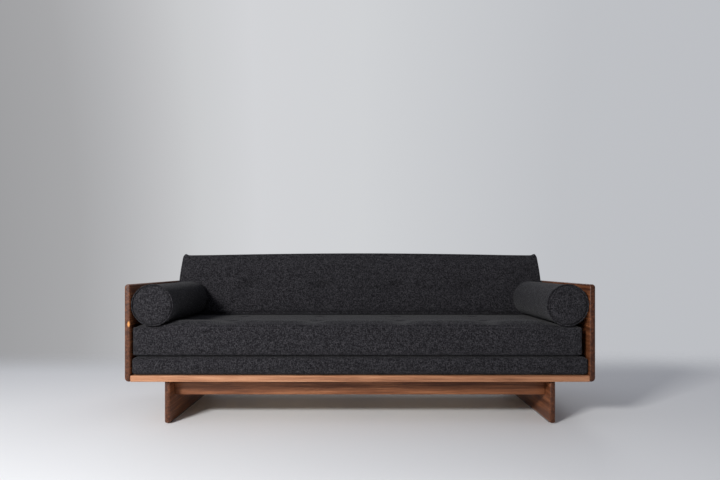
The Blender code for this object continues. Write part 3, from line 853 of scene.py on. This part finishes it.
def make_back_cushion():
    low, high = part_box("back_cover")
    half = (high.x - low.x) / 2
    slope = math.tan(BACK_LEAN)
    foot = Vector((0, BACK_FOOT, low.z))
    back = add_block(
        "back_cushion_wool",
        (-half + BACK_SWELL, BACK_SWELL, 0),
        (half - BACK_SWELL, BACK_THICKNESS - BACK_SWELL, BACK_SLANT),
    )
    for vert in back.data.vertices:
        if vert.co.z < 1e-5:
            vert.co.z = vert.co.y * slope

    def at_top_corner(place):
        return place.z > BACK_SLANT - 1e-5 and abs(place.x) > half - BACK_SWELL - 1e-5

    bevel_where(back, at_top_corner, BACK_CORNER, 5)
    bevel_where(back, lambda place: True, BACK_ROUND, 2)
    remesh(back, BACK_VOXEL)
    buttons = [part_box(f"back_button_{number}") for number in range(1, 5)]
    columns = [(first.x + last.x) / 2 for first, last in buttons]
    across = (buttons[0][0] + buttons[0][1]) / 2 - foot
    button_height = across.z * math.cos(BACK_LEAN) + across.y * math.sin(BACK_LEAN)

    def to_button(places):
        sideways = np.min([abs(places[:, 0] - column) for column in columns], axis=0)
        return np.hypot(sideways, places[:, 2] - button_height)

    places = points_of(back.data)[0]
    x, y, z = places.T
    front = 1 - ease(y, 0.003, 0.014)
    edge = ease(half - abs(x), 0.0, 0.20)
    height = ease(np.minimum(z, BACK_SLANT - z) / (BACK_SLANT / 2), -0.2, 0.8)
    crown = edge * height
    near_button = to_button(places)
    tuft = 1 - ease(near_button, 0.008, BACK_TUFT_REACH)
    dip = TUFT_DEPTH * (1 - ease(near_button, 0.009, 0.032))
    y += front * (dip - 0.6 * BACK_CROWN * crown * (1 - tuft))
    move_points(back, places)
    below = 1 - ease(z - y * slope, 0.004, 0.014)
    at_button = (1 - ease(y, 0.012, 0.02)) * (1 - ease(near_button, 0.007, 0.014))
    reach = BACK_SWELL * 1.3 + 0.4 * BACK_CROWN * (1 - ease(y, 0.01, 0.03)) * crown
    fill_cover(back, np.maximum(below, at_button), reach)

    def near_rim(points):
        x, y, z = points.T
        to_end = np.minimum(BACK_SLANT - z, z - y * slope)
        return np.minimum(half - abs(x), to_end) < SEAM_REACH

    def on_rear(points):
        return (BACK_THICKNESS - points[:, 1] < 0.012) & (abs(points[:, 0]) < BACK_ZIP_REACH)

    forward = (0, 1, 0)
    zip_line = (0, BACK_THICKNESS, BACK_THICKNESS * slope + BACK_ZIP_HEIGHT)
    seams = [(0, SEAM_INSET, 0), (0, BACK_THICKNESS - SEAM_INSET, 0)]
    sew(back, seams, forward, near_rim, zip_line=zip_line, across=(0, 0, 1), zip_near=on_rear)

    places = points_of(back.data)[0]
    x, y, z = places.T
    x *= half / abs(x).max()
    z += (BACK_SLANT - z.max()) * ease(z, BACK_SLANT / 2, BACK_SLANT)
    z -= (z - y * slope).min() * (1 - ease(z, 0.02, BACK_SLANT / 2))
    x_part = x / half
    high_part = ease(z, BACK_SLANT / 2, BACK_SLANT)
    side = ease(abs(x_part), 0.9, 1.0)
    from_side = half - abs(x)
    ear = np.exp(-(((from_side - 0.018) / 0.016) ** 2) - ((BACK_SLANT - z) / 0.045) ** 2)
    pull = 0.0025 + (BACK_SIDE_PULL - 0.0005) * (np.clip(z - 0.15, 0, 1) / 0.2) ** 2
    z += BACK_TOP_RISE * high_part * np.cos(math.pi / 2 * x_part) + EAR * ear
    x -= np.sign(x_part) * pull * side
    move_points(back, places)
    press_zip(back, zip_line, forward, (0, 0, 1), on_rear)
    lay_weave(back, box_panels)
    back.rotation_euler = (-BACK_LEAN, 0, 0)
    back.location = foot
    select_only(back)
    settle(back.name)
    stand_for(back, "back_cover", "back_cushion", wool)


make_back_cushion()


# ---------------------------------------------------------------- covered buttons
# Each button is a metal shell covered with the same wool, 22 mm across, tied through the
# cushion with twine. The cloth is gathered tight over its edge.
BUTTON_RADIUS = 0.011
BUTTON_HEIGHT = 0.006


def make_button():
    bpy.ops.object.select_all(action="DESELECT")
    bpy.ops.mesh.primitive_uv_sphere_add(segments=28, ring_count=14, radius=BUTTON_RADIUS)
    button = bpy.context.object
    button.name = button.data.name = "covered_button"
    set_mode("EDIT")
    bpy.ops.mesh.select_all(action="SELECT")
    bpy.ops.mesh.bisect(
        plane_co=(0, 0, -0.25 * BUTTON_RADIUS), plane_no=(0, 0, 1), clear_inner=True, use_fill=True
    )
    set_mode("OBJECT")
    places = points_of(button.data)[0]
    x, y, z = places.T
    around = np.arctan2(y, x)
    out = np.hypot(x, y) / BUTTON_RADIUS
    z[:] = (z / BUTTON_RADIUS + 0.25) / 1.25
    fold = 1 - 0.03 * ease(out, 0.7, 1.0) * (1 - z) * (1 + np.cos(14 * around))
    places[:, :2] *= fold[:, None]
    z *= BUTTON_HEIGHT
    move_points(button, places)
    smooth_cover(button)
    lay_weave(button, lambda places, normals, middles: places[:, :2])
    return button


def put_in_place(piece, turn, place):
    """Turns a piece's mesh and moves it to its place."""
    piece.data.transform(Matrix.Translation(place) @ turn.to_4x4())
    piece.data.update()


def copy_piece(model, name, turn, place):
    """A copy of a model with its own mesh, turned and put in its place."""
    piece = model.copy()
    piece.data = model.data.copy()
    piece.name = piece.data.name = name
    scene.collection.objects.link(piece)
    put_in_place(piece, turn, place)
    return piece


def place_buttons(model, cushion, count, turn, outward):
    for number in range(1, count + 1):
        node = f"{cushion}_button_{number}"
        low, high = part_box(node)
        middle = (low + high) / 2 - BUTTON_HEIGHT / 2 * outward
        button = copy_piece(model, f"{cushion}_covered_button_{number}", turn, middle)
        stand_for(button, node, cushion + "_cushion", wool)


button_model = make_button()
place_buttons(button_model, "seat", 8, Matrix.Identity(3), Vector((0, 0, 1)))
back_outward = Vector((0, -math.cos(BACK_LEAN), math.sin(BACK_LEAN)))
back_turn = Matrix.Rotation(-BACK_LEAN, 3, "X") @ Matrix.Rotation(math.radians(90), 3, "X")
place_buttons(button_model, "back", 4, back_turn, back_outward)
bpy.data.objects.remove(button_model)


# ---------------------------------------------------------------- bolsters
# Each bolster is a round of foam in a wool cover: a rolled body and two discs, joined with a
# thin self welt. They lie loose on the seat, along the side panels.
WELT = 0.0030
WELT_INSET = 0.0022
WELT_SINK = 0.0014
BOLSTER_VOXEL = 0.0065
DISC_INSET = 0.0045
BOLSTER_SEAM_DEPTH = 0.0024
DISC_SWELL = 0.006


def make_bolster(word):
    low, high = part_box(f"bolster_{word}_cover")
    middle = (low + high) / 2
    radius = (high.x - low.x) / 2
    length = high.y - low.y
    bpy.ops.object.select_all(action="DESELECT")
    bpy.ops.mesh.primitive_cylinder_add(
        vertices=96,
        radius=radius - 0.0008,
        depth=length - 0.002,
        location=middle,
        rotation=(math.radians(90), 0, 0),
    )
    bolster = settle(f"{word}_bolster_wool")
    ease_edges(bolster, 0.005, 2)
    remesh(bolster, BOLSTER_VOXEL)

    def from_axis(points):
        return np.hypot(points[:, 0] - middle.x, points[:, 2] - middle.z)

    places = points_of(bolster.data)[0]
    end = ease(abs(places[:, 1] - middle.y), length / 2 - 0.010, length / 2 - 0.003)
    reach = 0.0008 + end * DISC_SWELL * (1 - ease(from_axis(places) / radius, 0.35, 1.0))
    fill_cover(bolster, np.zeros(len(places)), reach)

    def at_end(points):
        from_middle = abs(points[:, 1] - middle.y)
        return (from_middle > length / 2 - 0.02) & (from_axis(points) > 0.8 * radius)

    along = (0, 1, 0)
    seams = [(0, low.y + DISC_INSET, 0), (0, high.y - DISC_INSET, 0)]
    sew(bolster, seams, along, at_end, BOLSTER_SEAM_DEPTH)

    def rolled(points, normals, middles):
        around = np.arctan2(middles[:, 2] - middle.z, middles[:, 0] - middle.x)
        angle = np.arctan2(points[:, 2] - middle.z, points[:, 0] - middle.x)
        turn = (angle - around + math.pi) % (2 * math.pi) - math.pi
        body = np.stack(((around + turn) * radius, points[:, 1]), axis=1)
        disc = np.stack((points[:, 0], points[:, 2]), axis=1)
        return np.where(np.abs(normals[:, 1:2]) > 0.7, disc, body)

    lay_weave(bolster, rolled)
    body = f"bolster_{word}"
    stand_for(bolster, f"bolster_{word}_cover", body, wool)
    for end_word, seam in zip(("front", "rear"), seams):
        bpy.ops.object.select_all(action="DESELECT")
        end_y = middle.y + math.copysign(length / 2 - WELT_INSET, seam[1] - middle.y)
        bpy.ops.mesh.primitive_torus_add(
            location=(middle.x, end_y, middle.z),
            rotation=(math.radians(90), 0, 0),
            major_segments=96,
            minor_segments=10,
            major_radius=radius - WELT_SINK,
            minor_radius=WELT,
        )
        welt = settle(f"{word}_bolster_{end_word}_welt")
        bpy.ops.object.shade_smooth()
        welt.data.uv_layers.remove(welt.data.uv_layers[0])
        lay_weave(welt, rolled)
        welt.data.materials.append(wool)
        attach(welt, body)


for side_word in ("left", "right"):
    make_bolster(side_word)


# ---------------------------------------------------------------- zips
# Each cover closes with a zip along its hidden side: a black woven tape with brass teeth,
# and a cast brass slider with a long pull.
ZIP_TAPE_HALF = 0.0037
TOOTH_PITCH = 0.004
BOLSTER_ZIP_RADIUS = 0.0942


def make_zip_tape():
    material, tree, shader, place = new_material("woven_zip_tape")
    inputs = {"Vector": place, "Scale": 260.0}
    ribs = add_node(tree, "TexWave", inputs, bands_direction="DIAGONAL").outputs["Fac"]
    fluff = add_node(tree, "TexNoise", {"Vector": place, "Scale": 1500.0, "Detail": 2.0})
    tone = calculate(tree, "MULTIPLY_ADD", ribs, 0.6, fluff.outputs["Fac"])
    tones = ((0.4, (0.006, 0.006, 0.007)), (1.1, (0.028, 0.027, 0.030)))
    finish_surface(tree, shader, tone_ramp(tree, tone, tones), ribs, 0.85, Distance=0.0003)
    return material


zip_tape = make_zip_tape()
brass = make_plated_steel("aged_brass", (0.42, 0.27, 0.09), (0.66, 0.46, 0.18), 0.34)


def make_zip(node, body, length, turn, place):
    """turn's columns are the directions along the zip, across it and out of the cover."""
    half = length / 2
    low, high = (-half, -ZIP_TAPE_HALF, -0.0032), (half, ZIP_TAPE_HALF, -0.0016)
    tape = add_block(node + "_tape", low, high)
    ease_edges(tape, 0.0004, 1)
    put_in_place(tape, turn, place)
    stand_for(tape, node, body, zip_tape)
    low, high = (-half + 0.004, -0.0019, -0.0018), (-half + 0.0064, 0.0009, -0.0004)
    tooth = add_block(node + "_teeth", low, high)
    set_mode("EDIT")
    bpy.ops.mesh.select_all(action="SELECT")
    bpy.ops.mesh.duplicate()
    bpy.ops.transform.translate(value=(TOOTH_PITCH / 2, 0.0010, 0))
    set_mode("OBJECT")
    apply_modifier(
        tooth,
        "ARRAY",
        count=int((length - 0.008) / TOOTH_PITCH),
        use_relative_offset=False,
        use_constant_offset=True,
        constant_offset_displace=(TOOTH_PITCH, 0, 0),
    )
    put_in_place(tooth, turn, place)
    tooth.data.materials.append(brass)
    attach(tooth, body)


def pick_faces(piece, chosen):
    """Starts edit mode with only the faces that chosen(normal) picks."""
    deselect_mesh()
    for face in piece.data.polygons:
        face.select = chosen(face.normal)
    set_mode("EDIT")


def make_slider():
    """A slider at its zip's start, which is the middle of its own body."""
    slider = add_block("zip_slider", (-0.0060, -0.0045, 0.0006), (0.0060, 0.0045, 0.0032))
    pick_faces(slider, lambda normal: normal.x < -0.5)
    bpy.ops.transform.resize(value=(1, 0.62, 1))
    set_mode("OBJECT")
    ease_edges(slider, 0.0007, 3)
    bridge = add_block("zip_bridge", (-0.0030, -0.0010, 0.0030), (0.0045, 0.0010, 0.0044))
    ease_edges(bridge, 0.0005, 3)
    pull = add_block("zip_pull", (0.0032, -0.0024, 0.0019), (0.0290, 0.0024, 0.0031))
    bevel_where(pull, lambda place: place.x > 0.02, 0.0022, 6)
    pick_faces(pull, lambda normal: normal.z > 0.9)
    bpy.ops.mesh.inset(thickness=0.0007, depth=-0.0003)
    set_mode("OBJECT")
    bpy.ops.object.select_all(action="DESELECT")
    for part in (bridge, pull, slider):
        part.select_set(True)
    bpy.context.view_layer.objects.active = slider
    bpy.ops.object.join()
    bpy.ops.object.shade_smooth_by_angle(angle=math.radians(30))
    return slider


slider_model = make_slider()


def place_zip(name, zip_body, length, outward, along, place):
    outward, along = Vector(outward), Vector(along)
    turn = Matrix((along, outward.cross(along), outward)).transposed()
    place = Vector(place)
    make_zip(name, zip_body, length, turn, place)
    start = place + along * (0.012 - length / 2)
    slider = copy_piece(slider_model, name + "_brass_slider", turn, start)
    slider_body = name.replace("_zip", "_slider")
    stand_for(slider, name + "_slider", slider_body, brass)


def zip_middle(node):
    """The middle and the size of a zip."""
    low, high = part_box(node)
    return (low + high) / 2, high - low


seat_middle, seat_size = zip_middle("seat_zip")
seat_rear = (seat_middle.x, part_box("seat_cover")[1].y, seat_middle.z)
place_zip("seat_zip", "seat_cushion", seat_size.x, (0, 1, 0), (1, 0, 0), seat_rear)

back_middle, back_size = zip_middle("back_zip")
back_rear = back_middle - back_outward * 0.002
place_zip("back_zip", "back_cushion", back_size.x, -back_outward, (1, 0, 0), back_rear)

for side_word in ("left", "right"):
    roll_low, roll_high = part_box(f"bolster_{side_word}_cover")
    roll = (roll_low + roll_high) / 2
    zip_name = f"bolster_{side_word}_zip"
    strip, strip_size = zip_middle(zip_name)
    slanted = Vector((strip.x - roll.x, 0, strip.z - roll.z)).normalized()
    on_cover = Vector((roll.x, strip.y, roll.z)) + slanted * BOLSTER_ZIP_RADIUS
    place_zip(zip_name, f"bolster_{side_word}", strip_size.y, slanted, (0, 1, 0), on_cover)
bpy.data.objects.remove(slider_model)


# ---------------------------------------------------------------- studio
# A pale floor, a paler air behind it, soft light from a window at the front left, and a little
# from another behind. The air and the ground seen past the floor carry painted light: brighter
# where the window's light would fall, darker away from it.
# Painted light on the backdrop: the air seen behind is darker at the left edge, brightest left of
# the middle and falling off to the right. The ground seen past the floor goes from pale at the
# left to darker at the right.
WALL_PAINTED_LIGHT = (
    (0.220, (0.335, 0.336, 0.345)),
    (0.274, (0.385, 0.386, 0.396)),
    (0.300, (0.440, 0.443, 0.456)),
    (0.330, (0.515, 0.518, 0.532)),
    (0.361, (0.590, 0.598, 0.612)),
    (0.410, (0.648, 0.656, 0.678)),
    (0.500, (0.632, 0.644, 0.664)),
    (0.606, (0.562, 0.575, 0.600)),
    (0.670, (0.520, 0.533, 0.560)),
    (0.760, (0.508, 0.521, 0.550)),
)
FLOOR_PAINTED_LIGHT = ((0.25, (0.66, 0.66, 0.67)), (0.75, (0.42, 0.42, 0.43)))
AIR_LIGHT = ((0.0, (0.38, 0.40, 0.45)), (1.0, (0.19, 0.195, 0.22)))


def make_studio():
    bpy.ops.object.select_all(action="DESELECT")
    bpy.ops.mesh.primitive_plane_add(size=1.0, location=(0, -7.9, 0))
    floor = bpy.context.object
    floor.name = "studio_floor"
    floor.scale = (40, 20.2, 1)
    bpy.ops.object.transform_apply(location=True, rotation=True, scale=True)
    material, tree, shader, place = new_material("pale_floor")
    depth = add_node(tree, "SeparateXYZ", {0: place}).outputs["Y"]
    fading = {"Value": depth, "From Min": 2.1, "From Max": 0.75}
    shown = add_node(tree, "MapRange", fading, interpolation_type="SMOOTHSTEP").outputs[0]
    tree.links.new(calculate(tree, "POWER", shown, 2.0), shader.inputs["Alpha"])
    shader.inputs["Base Color"].default_value = (0.80, 0.80, 0.80, 1)
    shader.inputs["Roughness"].default_value = 0.55
    floor.data.materials.append(material)
    world = bpy.data.worlds.new("studio_air")
    scene.world = world
    world.use_nodes = True
    tree = world.node_tree
    split = add_node(tree, "SeparateXYZ", {0: add_node(tree, "TexCoord").outputs["Generated"]})
    sideways, forward, upward = split.outputs["X"], split.outputs["Y"], split.outputs["Z"]
    part = calculate(tree, "MULTIPLY_ADD", sideways, 0.5, 0.5)
    drop = calculate(tree, "MULTIPLY", calculate(tree, "MAXIMUM", forward, 0.0), 0.21)
    below = map_range(tree, calculate(tree, "ADD", upward, drop), 0.015, -0.015)
    # Painted light: the backdrop's and the far ground's colours fall off across the view.
    wall = tone_ramp(tree, part, WALL_PAINTED_LIGHT)
    ground = tone_ramp(tree, part, FLOOR_PAINTED_LIGHT)
    seen = add_node(tree, "Mix", {"Factor": below, "A": wall, "B": ground}, data_type="RGBA")
    given = tone_ramp(tree, part, AIR_LIGHT)
    ray = add_node(tree, "LightPath").outputs["Is Camera Ray"]
    inputs = {"Factor": ray, "A": given, "B": seen.outputs["Result"]}
    colour = add_node(tree, "Mix", inputs, data_type="RGBA")
    tree.links.new(colour.outputs["Result"], tree.nodes["Background"].inputs["Color"])


def add_light(name, place, target, size, power):
    light = bpy.data.lights.new(name, "AREA")
    light.shape = "RECTANGLE"
    light.size, light.size_y = size
    light.energy = power
    lamp = bpy.data.objects.new(name, light)
    lamp.location = place
    lamp.rotation_euler = (Vector(target) - Vector(place)).to_track_quat("-Z", "Y").to_euler()
    scene.collection.objects.link(lamp)


make_studio()
add_light("window", (-2.57, -3.84, 2.3), (0, 0, 0.4), (1.0, 0.6), 240)
add_light("rear_window", (1.4, 3.8, 3.1), (0, 0, 0.4), (2.5, 1.5), 26)

# The camera stands level, 2.5 m in front of the daybed.
CAMERA_DISTANCE = 2.5
CAMERA_HEIGHT = 0.719
camera_data = bpy.data.cameras.new("camera")
camera_data.lens = 27.6
camera_data.shift_y = 0.0368
camera = bpy.data.objects.new("camera", camera_data)
camera.location = (0, cad_bounds[0].y - CAMERA_DISTANCE, CAMERA_HEIGHT)
camera.rotation_euler = (math.radians(90), 0, 0)
scene.collection.objects.link(camera)
scene.camera = camera
scene.view_settings.view_transform = "Standard"
